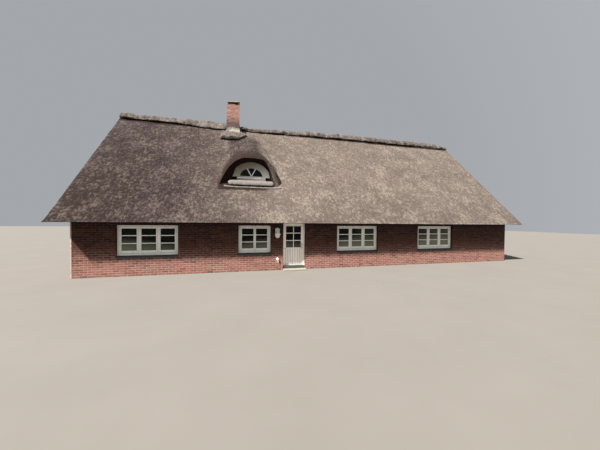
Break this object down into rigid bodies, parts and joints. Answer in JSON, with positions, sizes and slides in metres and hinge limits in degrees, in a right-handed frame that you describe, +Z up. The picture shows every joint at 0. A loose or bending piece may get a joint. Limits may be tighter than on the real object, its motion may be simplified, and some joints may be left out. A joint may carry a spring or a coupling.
{
  "type": "thatched cottage",
  "caption": "Long brick cottage with a steep thatched roof, an arched dormer, a chimney and a hinged glazed front door.",
  "frame": {"origin": "on the ground, in the middle of the roof's outline in plan", "axes": "+X along the house to the right seen from the front, the front faces -Y, +Z up"},
  "size_m": [20.88, 10.2, 8.8403],
  "materials": {
    "brick": "rough red brick with pale mortar joints",
    "chimney_brick": "weathered orange-red brick",
    "floor": "plain smooth screed",
    "timber": "sawn softwood, unfinished",
    "thatch": "weathered reed thatch, matt grey-brown",
    "ridge_turf": "packed heather on the ridge, matt and lumpy",
    "pale_stone": "pale weathered concrete",
    "grey_stone": "dark grey-green stone",
    "slate": "dark blue-grey slate, smooth",
    "white_paint": "off-white painted wood",
    "handle_metal": "plain dull steel",
    "white_metal": "off-white painted metal",
    "pane": "clear window glass, dark from outside"
  },
  "bodies": {
    "house": {"back_wall": "brick", "back_window_1_frame": "white_paint", "back_window_1_glass": "pane", "back_window_2_frame": "white_paint", "back_window_2_glass": "pane", "back_window_3_frame": "white_paint", "back_window_3_glass": "pane", "chimney_apron": "ridge_turf", "chimney_cap": "pale_stone", "chimney_stack": "chimney_brick", "corner_strip": "white_paint", "door_frame": "white_paint", "door_step": "pale_stone", "door_threshold": "grey_stone", "dormer_board": "white_paint", "dormer_glass": "pane", "dormer_sill": "thatch", "front_wall_left": "brick", "front_wall_over_door": "brick", "front_wall_right": "brick", "garden_tap": "white_metal", "ground_floor": "floor", "left_gable_wall": "brick", "left_window_loft_frame": "white_paint", "left_window_loft_glass": "pane", "left_window_low_frame": "white_paint", "left_window_low_glass": "pane", "loft_floor": "timber", "rafters_back": "timber", "rafters_front": "timber", "ridge_cap_left": "ridge_turf", "ridge_cap_right": "ridge_turf", "right_gable_wall": "brick", "right_window_loft_frame": "white_paint", "right_window_loft_glass": "pane", "right_window_low_frame": "white_paint", "right_window_low_glass": "pane", "thatch_back": "thatch", "thatch_front": "thatch", "wall_lamp": "white_metal", "window_1_frame": "white_paint", "window_1_glass": "pane", "window_1_sill": "slate", "window_2_frame": "white_paint", "window_2_glass": "pane", "window_2_sill": "slate", "window_3_frame": "white_paint", "window_3_glass": "pane", "window_3_sill": "slate", "window_4_frame": "white_paint", "window_4_glass": "pane", "window_4_sill": "slate"},
    "door": {"door_leaf": "white_paint", "door_glass": "pane", "door_handle": "handle_metal"}
  },
  "joints": [
    {"name": "door_hinge", "type": "hinge", "parent": "house", "child": "door", "pos_m": [-2.3825, -4.281, 0], "axis": [0, 0, 1], "range_deg": [0, 95]}
  ]
}
